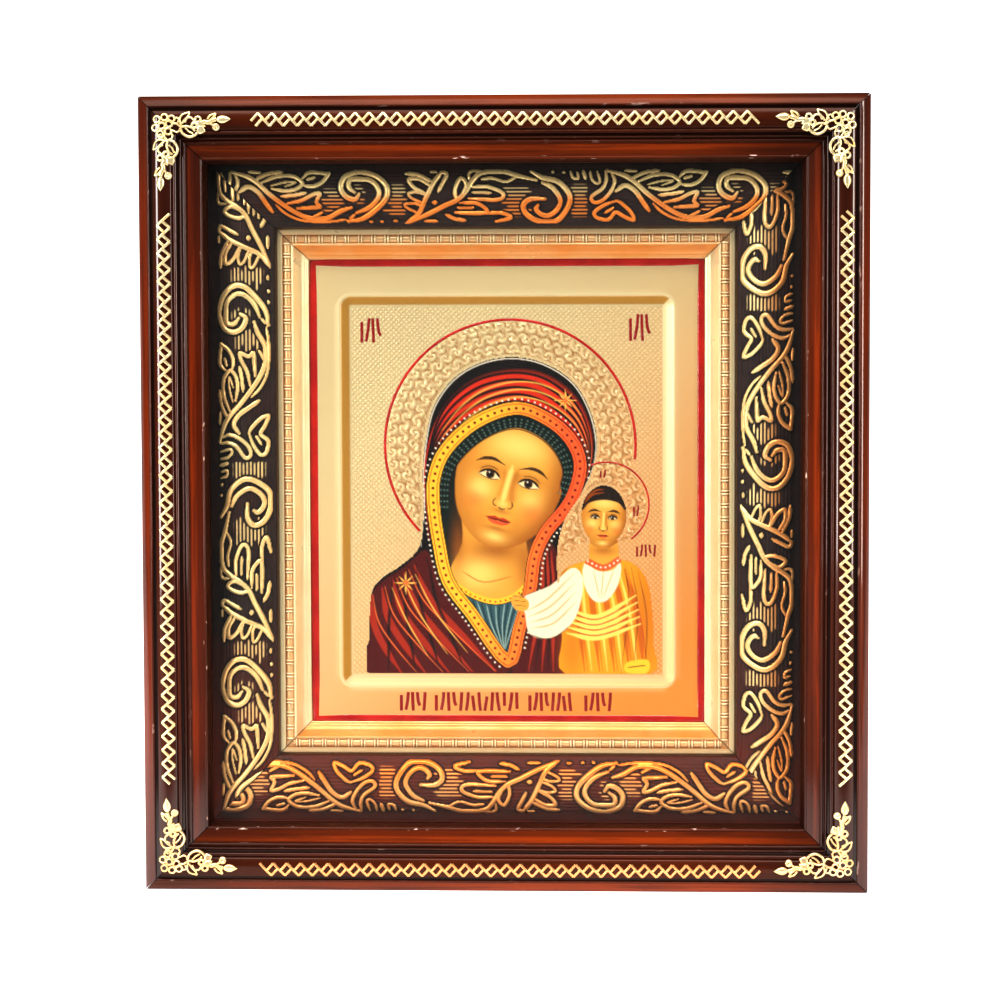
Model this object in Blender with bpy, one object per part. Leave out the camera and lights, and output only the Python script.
"""Icon panel: a glazed case of mitred mouldings that holds an icon on a board.

The case stands on its bottom rail with its face towards -Y. Its mouldings are
drawn as profiles: each profile point is an inset from the case's outer edge and
a depth behind the frontmost plane. A profile is carried along each side between
two mitre planes. Ornament is drawn in the plane of a rail, as strokes.
"""
import math

import bmesh
import bpy
from mathutils import Vector

MM = 0.001

# Overall sizes of the case
CASE_WIDTH = 300.0 * MM
CASE_HEIGHT = 329.0 * MM
CASE_DEPTH = 50.0 * MM
GAP = 0.3 * MM

# Gilt fittings on the case face
FITTING_THICKNESS = 0.8 * MM
LATTICE_PITCH = 5.71 * MM
LATTICE_WIDTH = 6.2 * MM
LATTICE_WIRE = 0.9 * MM
LATTICE_MARGIN = 47.0 * MM
LATTICE_LEAN = 0.08 * LATTICE_PITCH
CORNER_START = 6.6 * MM
CORNER_LINE = 11.6 * MM
GRAPE_RADIUS = 1.75 * MM
GRAPE_STEP = 1.68 * GRAPE_RADIUS
GRAPE_ROWS = (3, 3, 2)
BERRY_RADIUS = 1.3 * MM

# Case rails, from the outer edge inwards: insets, then rises and drops of depth
WALL = 14.0 * MM
LIP_WIDTH = 13.7 * MM
LIP_BACK_DEPTH = 12.0 * MM
FACE_EDGE_DEPTH = 5.0 * MM
EDGE_BEAD = (3.9 * MM, 4.6 * MM)
EDGE_BEAD_DEPTH = (2.3 * MM, 2.5 * MM)
QUIRK_START = 4.7 * MM
TORUS_START = 6.2 * MM
TORUS_END = 13.8 * MM
SHOULDER = (14.5 * MM, 15.7 * MM)
OUTER_REED = (16.9 * MM, 17.8 * MM)
INNER_REED = (18.5 * MM, 19.7 * MM)
BAND_START = 20.0 * MM
TORUS_RISE = 1.1 * MM
QUIRK_DROP = 1.0 * MM
LEDGE_DROP = 1.8 * MM
REED_RISE = 0.5 * MM
REED_STEP = 0.4 * MM
BAND_DROP = 1.5 * MM
SIGHT_ROUND = (2.6 * MM, 1.6 * MM)
SMALL_RISE = 0.3 * MM
BACK_BOARD_THICKNESS = 4.0 * MM
BACK_BOARD_SEAT = 5.0 * MM

TORUS_MIDDLE = (TORUS_START + TORUS_END) / 2
CREST_DEPTH = FITTING_THICKNESS + GAP
TORUS_FOOT = CREST_DEPTH + TORUS_RISE
LEDGE_DEPTH = TORUS_FOOT + LEDGE_DROP
BAND_DEPTH = LEDGE_DEPTH + 0.9 * MM
SIGHT_INSET = WALL + LIP_WIDTH
BACK_BOARD_FRONT = CASE_DEPTH - GAP - BACK_BOARD_THICKNESS
INNER_BACK = BACK_BOARD_FRONT - GAP
BACK_SEAT_INSET = WALL - BACK_BOARD_SEAT

# Glass and liner
GLASS_THICKNESS = 2.0 * MM
LINER_LIP = 4.3 * MM
LINER_EDGE_INSET = 53.8 * MM
LINER_LIP_BACK = 26.0 * MM
LINER_SHOULDER_WIDTH = 3.2 * MM
LINER_MARGIN = 2.7 * MM
HUMP_DROP = (5.2 * MM, 6.6 * MM)
HUMP_RISE = 3.6 * MM
HUMP_MARGIN = 1.4 * MM

GLASS_FRONT = LIP_BACK_DEPTH + GAP
LINER_FRONT = GLASS_FRONT + GLASS_THICKNESS + GAP
LINER_OUTER = WALL + GAP
HUMP_START = SIGHT_INSET + LINER_MARGIN
HUMP_END = LINER_EDGE_INSET - HUMP_MARGIN
HUMP_OUTER_DEPTH = LINER_FRONT + HUMP_DROP[0]
HUMP_INNER_DEPTH = LINER_FRONT + HUMP_DROP[1]

# Scrollwork on the liner: one repeat is drawn on a grid of units along and across
ORNAMENT_HEIGHT = 1.0 * MM
ORNAMENT_WIDTH = 1.5 * MM
ORNAMENT_PERIOD = 156.0 * MM
ORNAMENT_UNITS = (379, 53)
FOOT_SUNK = 0.5 * MM

# Slip with its row of beads
SLIP_FACE = 13.1 * MM
SLIP_LIP = 5.3 * MM
SLIP_LIP_BACK = 32.2 * MM
SLIP_EDGE_DROP = 1.0 * MM
FILLET_LIFT = 1.3 * MM
COVE_HOLLOW = 1.0 * MM
BEAD_OFFSET = 5.0 * MM
BEAD_PITCH = 5.5 * MM
BEAD_LENGTH = 4.0 * MM
BEAD_WIDTH = 2.4 * MM
BEAD_HEIGHT = 1.0 * MM

SLIP_OUTER = LINER_EDGE_INSET - LINER_LIP + GAP
SLIP_FRONT = LINER_LIP_BACK + GAP
SLIP_FILLET_START = LINER_EDGE_INSET + 2 * GAP
SLIP_EDGE_INSET = LINER_EDGE_INSET + GAP + SLIP_FACE
BEAD_INSET = LINER_EDGE_INSET + BEAD_OFFSET
BEAD_GROUND = SLIP_FRONT - GAP
CHANNEL_REACH = BEAD_WIDTH / 2 + 0.4 * MM

# Icon board: its sunk field with sloping sides, and the halo in it
RECESS_MARGIN_SIDE = 17.8 * MM
RECESS_MARGIN_TOP = 20.1 * MM
RECESS_BEVEL = 4.4 * MM
RECESS_DEPTH = 1.5 * MM
RECESS_CORNER = 5.0 * MM
RECESS_OVERCUT = 1.0 * MM
HALO_RADIUS = 52.6 * MM
HALO_INNER = 41.5 * MM
HALO_OFFSET = (1.3 * MM, 19.3 * MM)
HALO_RELIEF = 0.5 * MM
HALO_CURLS = 16

# Each side of the case, and how far a rail drawn along its top edge is turned to it
SIDES = {"top": 0.0, "right": 90.0, "bottom": 180.0, "left": 270.0}

# Where the ornament's outer scroll stands on each side, from the side's middle
SCROLL_PHASE = {"top": -58.8 * MM, "right": -12.8 * MM, "bottom": -39.9 * MM, "left": -79.8 * MM}

# How far each lattice strip was glued along its side, and inwards of the torus's middle
LATTICE_SHIFT = {"top": -0.6 * MM, "right": 0.0, "bottom": -3.3 * MM, "left": -3.1 * MM}
LATTICE_OFFSET = {"top": -0.2 * MM, "right": -0.6 * MM, "bottom": -0.8 * MM, "left": 0.5 * MM}

SHARP_ANGLE = math.radians(30)


def material(name, colour, roughness, metallic=0.0, alpha=1.0):
    """A plain Principled material."""
    made = bpy.data.materials.new(name)
    made.use_nodes = True
    shader = made.node_tree.nodes["Principled BSDF"]
    shader.inputs["Base Color"].default_value = (*colour, 1.0)
    shader.inputs["Roughness"].default_value = roughness
    shader.inputs["Metallic"].default_value = metallic
    shader.inputs["Alpha"].default_value = alpha
    return made


def add_object(name, mesh, finish=None, angle=0.0):
    """Puts a mesh in the scene, turned about the case's middle by an angle in degrees."""
    made = bpy.data.objects.new(name, mesh)
    bpy.context.collection.objects.link(made)
    made.location = (0.0, 0.0, CASE_HEIGHT / 2)
    made.rotation_euler = (0.0, math.radians(angle), 0.0)
    if finish:
        mesh.materials.append(finish)
    return made


def finish_mesh(bm, name):
    """Turns a bmesh into a mesh whose faces point outwards."""
    bmesh.ops.recalc_face_normals(bm, faces=bm.faces)
    mesh = bpy.data.meshes.new(name)
    bm.to_mesh(mesh)
    bm.free()
    return mesh


def combine(target, tool_mesh, operation, angle=0.0):
    """Adds an exact Boolean with a hidden tool object that has the target's place."""
    tool = add_object(target.name + "_" + operation.lower() + "_tool", tool_mesh, angle=angle)
    tool.hide_render = True
    tool.display_type = "WIRE"
    step = target.modifiers.new(operation.title(), "BOOLEAN")
    step.operation = operation
    step.solver = "EXACT"
    step.use_self = True
    step.object = tool
    flat = target.modifiers.new("Join flat faces", "DECIMATE")
    flat.decimate_type = "DISSOLVE"
    flat.angle_limit = math.radians(0.2)


def arc(start, end, rise, count):
    """Points on a round arc from start to end; its middle stands rise before the chord."""
    points = []
    for step in range(count + 1):
        share = step / count
        bulge = rise * (1.0 - (2.0 * share - 1.0) ** 2)
        inset = start[0] + (end[0] - start[0]) * share
        depth = start[1] + (end[1] - start[1]) * share - bulge
        points.append((inset, depth))
    return points


def half_sizes(side):
    """Half the case's length along a side, and half its size across that side."""
    if side in ("top", "bottom"):
        return CASE_WIDTH / 2, CASE_HEIGHT / 2
    return CASE_HEIGHT / 2, CASE_WIDTH / 2


def place(side, along, inset, depth):
    """A point on a rail, in the rail's own frame before it is turned to its side."""
    return Vector((along, depth - CASE_DEPTH / 2, half_sizes(side)[1] - inset))


def mitred_rail(name, side, profile, finish):
    """Carries a closed profile along one side between two mitre planes."""
    half_along = half_sizes(side)[0]
    mitre_relief = GAP * math.sqrt(0.5)
    bm = bmesh.new()
    loops = []
    for direction in (-1, 1):
        loop = []
        for inset, depth in profile:
            reach = half_along - inset - mitre_relief
            loop.append(bm.verts.new(place(side, direction * reach, inset, depth)))
        loops.append(loop)
    count = len(profile)
    for index in range(count):
        after = (index + 1) % count
        bm.faces.new((loops[0][index], loops[0][after], loops[1][after], loops[1][index]))
    bm.faces.new(loops[0])
    bm.faces.new(loops[1])
    mesh = finish_mesh(bm, name)
    mesh.shade_smooth()
    mesh.set_sharp_from_angle(angle=SHARP_ANGLE)
    return add_object(name, mesh, finish, SIDES[side])


def between(insets, depths, rise, count):
    """An arc of a profile between two insets, at one depth or from one depth to another."""
    first, last = depths if isinstance(depths, tuple) else (depths, depths)
    return arc((insets[0], first), (insets[1], last), rise, count)


def case_profile():
    """Outer bevel, bead, wide torus, shoulder, two reeds, sloping band, sight edge and rebate."""
    quirk = TORUS_FOOT + QUIRK_DROP
    band_end = BAND_DEPTH + BAND_DROP
    sight = (SIGHT_INSET - SIGHT_ROUND[0], SIGHT_INSET - SIGHT_ROUND[1])
    face = [(0.0, FACE_EDGE_DEPTH)]
    face += between(EDGE_BEAD, EDGE_BEAD_DEPTH, SMALL_RISE, 2)
    face += [(QUIRK_START, quirk), (TORUS_START - 0.1 * MM, quirk)]
    face += between((TORUS_START, TORUS_END), TORUS_FOOT, TORUS_RISE, 6)
    face += between(SHOULDER, TORUS_FOOT + REED_STEP, SMALL_RISE, 2)
    face += [(SHOULDER[1] + 0.3 * MM, LEDGE_DEPTH)]
    face += between(OUTER_REED, LEDGE_DEPTH, REED_RISE, 2)
    face += between(INNER_REED, LEDGE_DEPTH + REED_STEP, REED_RISE, 2)
    face += [(BAND_START, BAND_DEPTH)]
    face += between(sight, band_end, SMALL_RISE, 2)
    face += [(SIGHT_INSET, band_end + SIGHT_ROUND[0]), (SIGHT_INSET, LIP_BACK_DEPTH)]
    rear = [(WALL, LIP_BACK_DEPTH), (WALL, INNER_BACK), (BACK_SEAT_INSET, INNER_BACK)]
    rear += [(BACK_SEAT_INSET, CASE_DEPTH), (0.0, CASE_DEPTH)]
    return face + rear


def hump_depth(inset):
    """Depth of the liner's convex face, which carries the scrollwork."""
    share = min(max((inset - HUMP_START) / (HUMP_END - HUMP_START), 0.0), 1.0)
    chord = HUMP_OUTER_DEPTH + (HUMP_INNER_DEPTH - HUMP_OUTER_DEPTH) * share
    return chord - HUMP_RISE * (1.0 - (2.0 * share - 1.0) ** 2)


def liner_profile():
    """Hidden shoulder, dark margin, convex ornament face, inner margin and slip rebate."""
    wall_inset = LINER_EDGE_INSET - LINER_LIP
    foot_depth = HUMP_OUTER_DEPTH + 0.8 * MM
    face = [(LINER_OUTER, LINER_FRONT), (SIGHT_INSET - LINER_SHOULDER_WIDTH, LINER_FRONT)]
    face += [(SIGHT_INSET - 0.9 * MM, foot_depth)]
    face += between((HUMP_START, HUMP_END), (HUMP_OUTER_DEPTH, HUMP_INNER_DEPTH), HUMP_RISE, 4)
    face += [(LINER_EDGE_INSET, HUMP_INNER_DEPTH + 1.0 * MM), (LINER_EDGE_INSET, LINER_LIP_BACK)]
    rear = [(wall_inset, LINER_LIP_BACK), (wall_inset, INNER_BACK), (LINER_OUTER, INNER_BACK)]
    return face + rear


def slip_profile():
    """Hidden tongue, flat fillet, bead channel, cove sloping to the icon, and icon rebate."""
    fillet = SLIP_FRONT - FILLET_LIFT
    wall_inset = SLIP_EDGE_INSET - SLIP_LIP
    cove = (BEAD_INSET + CHANNEL_REACH + 0.2 * MM, SLIP_EDGE_INSET - 0.8 * MM)
    cove_depths = (BEAD_GROUND - 0.6 * MM, SLIP_LIP_BACK - 1.2 * SLIP_EDGE_DROP)
    face = [(SLIP_OUTER, SLIP_FRONT), (SLIP_FILLET_START, SLIP_FRONT)]
    face += between((SLIP_FILLET_START + GAP, BEAD_INSET - CHANNEL_REACH), fillet, 0.2 * MM, 2)
    face += [(BEAD_INSET - CHANNEL_REACH + 0.2 * MM, BEAD_GROUND)]
    face += [(BEAD_INSET + CHANNEL_REACH, BEAD_GROUND)]
    face += between(cove, cove_depths, -COVE_HOLLOW, 4)
    face += [(SLIP_EDGE_INSET, SLIP_LIP_BACK - SLIP_EDGE_DROP), (SLIP_EDGE_INSET, SLIP_LIP_BACK)]
    rear = [(wall_inset, SLIP_LIP_BACK), (wall_inset, INNER_BACK), (SLIP_OUTER, INNER_BACK)]
    return face + rear


def curve_points(start, lean_start, lean_end, end, count):
    """Points on a cubic curve with two leaning points, in shares of the ornament's size."""
    points = []
    for step in range(count + 1):
        share = step / count
        rest = 1.0 - share
        weights = (rest ** 3, 3 * rest ** 2 * share, 3 * rest * share ** 2, share ** 3)
        corners = (start, lean_start, lean_end, end)
        points.append(tuple(sum(w * c[axis] for w, c in zip(weights, corners)) for axis in (0, 1)))
    return points


def scroll_points(centre, radius, eye, first, last, flip, count):
    """A scroll that keeps its radius for most of its turn and then winds into an eye."""
    points = []
    for step in range(count + 1):
        share = step / count
        angle = math.radians(first + (last - first) * share)
        reach = radius - (radius - eye) * share ** 4
        points.append((centre[0] + reach * math.cos(angle), centre[1] + flip * reach * math.sin(angle)))
    return points


def ornament_lines():
    """The vines, scrolls and twig in one repeat of the liner's scrollwork, with widths.

    The first number runs along the rail from the outer scroll's middle, the second
    from the band's outer edge to its inner edge, on a grid of 379 by 53 units.
    """
    vine = ORNAMENT_WIDTH
    scroll = 2.2 * ORNAMENT_WIDTH
    return [
        (curve_points((-133, 3), (-103, 8), (-82, 46), (-38, 46), 4), vine),
        ([(-45, 46), (-20, 46), (4, 42)], vine),
        (scroll_points((0, 23), 19, 5, 96, -200, 1, 8), scroll),
        ([(-128, 34), (-116, 14), (-104, 20), (-94, 40)], vine),
        (curve_points((54, 49), (62, 42), (68, 16), (80, 3), 2), vine),
        ([(75, 8), (43, 4)], vine),
        ([(79, 3), (85, 8), (77, 20)], vine),
        (curve_points((46, 51), (90, 38), (96, 32), (112, 9), 3), vine),
        (curve_points((108, 13), (122, -4), (148, 1), (178, 11), 2), vine),
        (scroll_points((185, 30), 19, 5, 96, -200, -1, 8), scroll),
    ]


def ornament_leaves():
    """The leaves, petals and fingers of one repeat: base, tip and width of each."""
    leaves = [
        ((-104, 12), (-60, 14), 17),
        ((-64, 13), (-34, 4), 14),
        ((-78, 36), (-40, 27), 12),
        ((-126, 31), (-148, 47), 13),
        ((-127, 31), (-104, 49), 11),
        ((-130, 4), (-150, 33), 13),
        ((59, 42), (41, 37), 7),
        ((63, 32), (46, 26), 7),
        ((67, 23), (48, 10), 10),
        ((95, 31), (99, 8), 10),
        ((106, 23), (142, 24), 15),
        ((96, 37), (127, 41), 12),
        ((113, 6), (149, 10), 8),
    ]
    for position, reach in ((194, 7), (207, 10), (220, 13)):
        leaves.append(((position, 0), (position + 3, reach), 6))
    return leaves


def grid_spot(side, repeat, along, across):
    """Where a point of the ornament's grid lies on a rail: along it, and inset."""
    origin = SCROLL_PHASE[side] + repeat * ORNAMENT_PERIOD
    unit_along = ORNAMENT_PERIOD / ORNAMENT_UNITS[0]
    unit_across = (HUMP_END - HUMP_START) / ORNAMENT_UNITS[1]
    return (origin + along * unit_along, HUMP_START + across * unit_across)


def clear_of_mitre(side, spot, margin):
    """Whether a spot on a rail stays inside its mitres by a margin."""
    return abs(spot[0]) < half_sizes(side)[0] - spot[1] - margin


def add_ridge(bm, side, spots, width, height):
    """A sharp ridge along spots on a rail: a three-sided bar with its foot sunk in."""
    rings = []
    for index, (along, inset) in enumerate(spots):
        before = spots[max(index - 1, 0)]
        after = spots[min(index + 1, len(spots) - 1)]
        across = Vector((before[1] - after[1], after[0] - before[0])).normalized() * width / 2
        ring = []
        for sign in (-1, 1):
            foot = (along + sign * across.x, inset + sign * across.y)
            ring.append(bm.verts.new(place(side, *foot, hump_depth(foot[1]) + FOOT_SUNK)))
        ring.append(bm.verts.new(place(side, along, inset, hump_depth(inset) - height)))
        rings.append(ring)
    for first, second in zip(rings, rings[1:]):
        for corner in range(3):
            following = (corner + 1) % 3
            bm.faces.new((first[corner], first[following], second[following], second[corner]))
    bm.faces.new(rings[0])
    bm.faces.new(rings[-1])


def add_boss(bm, side, outline, ground, crown):
    """A low boss on a rail: a sunk outline of spots that rises to one crown point."""
    middle = [sum(spot[axis] for spot in outline) / len(outline) for axis in (0, 1)]
    feet = [bm.verts.new(place(side, *spot, ground(spot[1]) + FOOT_SUNK)) for spot in outline]
    top = bm.verts.new(place(side, *middle, ground(middle[1]) - crown))
    for index in range(len(feet)):
        bm.faces.new((feet[index], feet[(index + 1) % len(feet)], top))
    bm.faces.new(feet)


def diamond(base, tip, width):
    """The four-sided outline of a leaf from its base to its tip."""
    run = (tip[0] - base[0], tip[1] - base[1])
    size = math.hypot(*run)
    across = (-run[1] / size * width / 2, run[0] / size * width / 2)
    widest = (base[0] + run[0] * 0.45, base[1] + run[1] * 0.45)
    return [base, (widest[0] + across[0], widest[1] + across[1]), tip,
            (widest[0] - across[0], widest[1] - across[1])]


def scrollwork_mesh(name, side):
    """The scrollwork repeated along one liner rail and stopped short at its mitres."""
    bm = bmesh.new()
    for repeat in range(-2, 3):
        for number, (line, width) in enumerate(ornament_lines()):
            height = ORNAMENT_HEIGHT * (1.0 - 0.04 * (number % 3))
            run = []
            for point in line + [None]:
                spot = grid_spot(side, repeat, *point) if point else None
                if spot and clear_of_mitre(side, spot, width):
                    run.append(spot)
                    continue
                if len(run) > 1:
                    add_ridge(bm, side, run, width, height)
                run = []
        for number, (base, tip, width) in enumerate(ornament_leaves()):
            outline = [grid_spot(side, repeat, *point) for point in diamond(base, tip, width)]
            if all(clear_of_mitre(side, spot, ORNAMENT_WIDTH / 2) for spot in outline):
                crown = ORNAMENT_HEIGHT * (0.92 + 0.03 * (number % 4))
                add_boss(bm, side, outline, hump_depth, crown)
    return finish_mesh(bm, name)


def bead_mesh(name, side):
    """A row of four-sided beads in the slip's channel, spaced from the rail's middle."""
    reach = half_sizes(side)[0] - BEAD_INSET - BEAD_PITCH
    steps = int(reach / BEAD_PITCH)
    bm = bmesh.new()
    for step in range(-steps, steps + 1):
        middle = step * BEAD_PITCH
        ends = [(middle + sign * BEAD_LENGTH / 2, BEAD_INSET) for sign in (-1, 1)]
        outline = diamond(*ends, BEAD_WIDTH)
        add_boss(bm, side, outline, lambda inset: BEAD_GROUND, BEAD_HEIGHT)
    return finish_mesh(bm, name)


def lattice_strip(name, side, finish):
    """A toothed gilt strip: linked lozenges, with a ridge along their middle.

    Its flat back lies on the crest of the case's convex moulding, and each lozenge
    leans a little, with one tip on either side.
    """
    half_along = half_sizes(side)[0]
    cells = int((2 * half_along - 2 * LATTICE_MARGIN) / LATTICE_PITCH)
    start = LATTICE_SHIFT[side] - cells * LATTICE_PITCH / 2
    line = TORUS_MIDDLE + LATTICE_OFFSET[side]
    bm = bmesh.new()

    def row(spots, lift):
        """One row of points in front of the crest."""
        depth = CREST_DEPTH - lift
        return [bm.verts.new(place(side, along, line + across, depth)) for along, across in spots]

    waists = [start + cell * LATTICE_PITCH for cell in range(cells + 1)]
    middles = [waist + LATTICE_PITCH / 2 for waist in waists[:-1]]
    ridge = row([(waist, 0.0) for waist in waists], GAP + FITTING_THICKNESS)
    for sign in (-1, 1):
        feet = row([(waist, sign * LATTICE_WIRE / 2) for waist in waists], GAP)
        tips = row([(middle - sign * LATTICE_LEAN, sign * LATTICE_WIDTH / 2) for middle in middles], GAP)
        for cell in range(cells):
            bm.faces.new((ridge[cell], feet[cell], tips[cell]))
            bm.faces.new((ridge[cell], tips[cell], ridge[cell + 1]))
            bm.faces.new((ridge[cell + 1], tips[cell], feet[cell + 1]))
        if sign < 0:
            upper, upper_tips = feet, tips
    for cell in range(cells):
        bm.faces.new((upper[cell], upper_tips[cell], tips[cell], feet[cell]))
        bm.faces.new((upper_tips[cell], upper[cell + 1], feet[cell + 1], tips[cell]))
    for end in (0, -1):
        bm.faces.new((ridge[end], upper[end], feet[end]))
    return add_object(name, finish_mesh(bm, name), finish, SIDES[side])


def join_outlines(bm, outlines, depths):
    """A closed piece between two outlines in the case's front plane, each at its depth."""
    loops = []
    for outline, depth in zip(outlines, depths):
        loops.append([bm.verts.new((x, depth - CASE_DEPTH / 2, z)) for x, z in outline])
    count = len(loops[0])
    for index in range(count):
        after = (index + 1) % count
        bm.faces.new((loops[0][index], loops[0][after], loops[1][after], loops[1][index]))
    bm.faces.new(loops[0])
    bm.faces.new(loops[1])


def round_outline(centre, radius, count):
    """A regular outline about a centre."""
    turns = [2 * math.pi * step / count for step in range(count)]
    return [(centre[0] + radius * math.cos(turn), centre[1] + radius * math.sin(turn)) for turn in turns]


def corner_outlines():
    """Grapes at the corner, then a leaf, a petal, an end leaf and berries along one arm.

    Both numbers run in from the case's outer corner, the first along the arm.
    """
    grapes = []
    for row, count in enumerate(GRAPE_ROWS):
        for step in range(count):
            along = CORNER_START + GRAPE_RADIUS + step * GRAPE_STEP
            across = CORNER_START + GRAPE_RADIUS + row * GRAPE_STEP
            grapes.append(round_outline((along, across), GRAPE_RADIUS, 6))
    leaf = ((8.0, 0.0), (16.0, -3.8), 2.6)
    petal = ((7.0, 0.3), (20.5, 1.3), 7.4)
    end_leaf = ((18.0, 0.0), (33.0, -0.6), 3.8)
    arm = []
    for base, tip, width in (leaf, petal, end_leaf):
        ends = [arm_spot(*base), arm_spot(*tip)]
        arm.append(diamond(*ends, width * MM))
    for along, across in ((20.6, -1.2), (22.2, 1.4), (25.4, 2.3)):
        arm.append(round_outline(arm_spot(along, across), BERRY_RADIUS, 5))
    return grapes, arm


def arm_spot(along, across):
    """A point beside a corner plate's stem, in millimetres from the plate's own start."""
    return (CORNER_START + along * MM, CORNER_LINE + across * MM)


def corner_fitting(name, right, upper, finish):
    """A gilt corner plate; the second arm mirrors the first about the corner's diagonal."""
    grapes, arm = corner_outlines()
    outlines = grapes + arm + [[(b, a) for a, b in outline] for outline in arm]
    back = CREST_DEPTH - GAP
    bodies = []
    for index, outline in enumerate(outlines):
        placed = [(right * (CASE_WIDTH / 2 - a), upper * (CASE_HEIGHT / 2 - b)) for a, b in outline]
        bm = bmesh.new()
        join_outlines(bm, (placed, placed), (back, 0.0))
        bodies.append(finish_mesh(bm, name + "_" + str(index)))
    made = add_object(name, bodies[0], finish)
    bm = bmesh.new()
    for body in bodies[1:]:
        bm.from_mesh(body)
    combine(made, finish_mesh(bm, name + "_rest"), "UNION")
    return made


def box(name, half_width, half_height, front, back, finish):
    """A flat board or pane about the case's middle."""
    bm = bmesh.new()
    corners = [(-1, -1), (1, -1), (1, 1), (-1, 1)]
    outline = [(x * half_width, z * half_height) for x, z in corners]
    join_outlines(bm, (outline, outline), (back, front))
    return add_object(name, finish_mesh(bm, name), finish)


def rounded_rectangle(half_width, half_height, radius, count):
    """A rectangle's outline with quarter-round corners."""
    points = []
    for quarter, (x, z) in enumerate(((1, 1), (-1, 1), (-1, -1), (1, -1))):
        for step in range(count + 1):
            angle = math.radians(90 * (quarter + step / count))
            points.append((x * (half_width - radius) + radius * math.cos(angle),
                           z * (half_height - radius) + radius * math.sin(angle)))
    return points


def recess_mesh(half_width, half_height, front):
    """The tool that cuts the icon's sunk field with its sloping sides."""
    slope = RECESS_BEVEL / RECESS_DEPTH
    outlines = []
    for drop in (-RECESS_OVERCUT, RECESS_DEPTH):
        shrink = slope * drop
        radius = max(RECESS_CORNER - shrink, 0.8 * MM)
        outlines.append(rounded_rectangle(half_width - shrink, half_height - shrink, radius, 3))
    bm = bmesh.new()
    join_outlines(bm, outlines, (front - RECESS_OVERCUT, front + RECESS_DEPTH))
    return finish_mesh(bm, "recess_tool")


def halo_mesh(field_depth):
    """The raised ring of the halo, with a wave of curls round it."""
    bm = bmesh.new()
    count = 2 * HALO_CURLS
    rings = []
    middle = (HALO_RADIUS + HALO_INNER) / 2
    wave_reach = (HALO_RADIUS - HALO_INNER) * 0.28
    for radius, lift in ((HALO_INNER, -FOOT_SUNK), (HALO_INNER, 0.3 * HALO_RELIEF),
                         (middle, HALO_RELIEF), (HALO_RADIUS, 0.6 * HALO_RELIEF),
                         (HALO_RADIUS, -FOOT_SUNK)):
        ring = []
        for step in range(count):
            turn = 2 * math.pi * step / count
            wave = radius
            if radius == middle:
                wave = radius + wave_reach * (-1) ** step
            x = HALO_OFFSET[0] + wave * math.cos(turn)
            z = HALO_OFFSET[1] + wave * math.sin(turn)
            ring.append(bm.verts.new((x, field_depth - lift - CASE_DEPTH / 2, z)))
        rings.append(ring)
    for first, second in zip(rings, rings[1:] + rings[:1]):
        for index in range(count):
            after = (index + 1) % count
            bm.faces.new((first[index], first[after], second[after], second[index]))
    return finish_mesh(bm, "halo_tool")


def build_case(wood, glass, board):
    """Case rails, glass pane and back board."""
    for side in SIDES:
        mitred_rail("case_rail_" + side, side, case_profile(), wood)
    box("glass_pane", CASE_WIDTH / 2 - LINER_OUTER, CASE_HEIGHT / 2 - LINER_OUTER,
        GLASS_FRONT, GLASS_FRONT + GLASS_THICKNESS, glass)
    inset = BACK_SEAT_INSET + GAP
    box("back_board", CASE_WIDTH / 2 - inset, CASE_HEIGHT / 2 - inset,
        BACK_BOARD_FRONT, BACK_BOARD_FRONT + BACK_BOARD_THICKNESS, board)


def build_fittings(gilt):
    """Gilt lattice strips and corner plates on the case's face."""
    for side in SIDES:
        lattice_strip("lattice_strip_" + side, side, gilt)
    for upper, height in (("top", 1), ("bottom", -1)):
        for flank, right in (("left", -1), ("right", 1)):
            corner_fitting("corner_plate_" + upper + "_" + flank, right, height, gilt)


def build_liner(finish):
    """Liner rails with their scrollwork."""
    for side in SIDES:
        rail = mitred_rail("liner_rail_" + side, side, liner_profile(), finish)
        combine(rail, scrollwork_mesh("scrollwork_" + side, side), "UNION", SIDES[side])


def build_slip(finish):
    """Gilt slip rails with their row of beads."""
    for side in SIDES:
        rail = mitred_rail("slip_rail_" + side, side, slip_profile(), finish)
        combine(rail, bead_mesh("beads_" + side, side), "UNION", SIDES[side])


def build_icon(finish):
    """The icon board, its sunk field and the halo's relief."""
    inset = SLIP_EDGE_INSET - SLIP_LIP + GAP
    half_width = CASE_WIDTH / 2 - inset
    half_height = CASE_HEIGHT / 2 - inset
    front = SLIP_LIP_BACK + GAP
    board = box("icon_board", half_width, half_height, front, INNER_BACK, finish)
    recess = recess_mesh(half_width - RECESS_MARGIN_SIDE, half_height - RECESS_MARGIN_TOP, front)
    combine(board, recess, "DIFFERENCE")
    combine(board, halo_mesh(front + RECESS_DEPTH), "UNION")


def build():
    """Makes every piece of the icon panel."""
    for old in list(bpy.data.objects):
        bpy.data.objects.remove(old)
    wood = material("lacquered_wood", (0.12, 0.03, 0.015), 0.18)
    glass = material("clear_glass", (0.95, 0.97, 0.97), 0.02, alpha=0.15)
    board = material("fibre_board", (0.30, 0.19, 0.10), 0.8)
    gilt = material("gilt_metal", (0.80, 0.66, 0.34), 0.25, metallic=1.0)
    liner = material("embossed_liner", (0.10, 0.06, 0.05), 0.4)
    slip = material("gilt_slip", (0.80, 0.62, 0.30), 0.35, metallic=0.8)
    icon = material("icon_foil", (0.82, 0.70, 0.42), 0.35, metallic=0.3)
    build_case(wood, glass, board)
    build_fittings(gilt)
    build_liner(liner)
    build_slip(slip)
    build_icon(icon)


build()
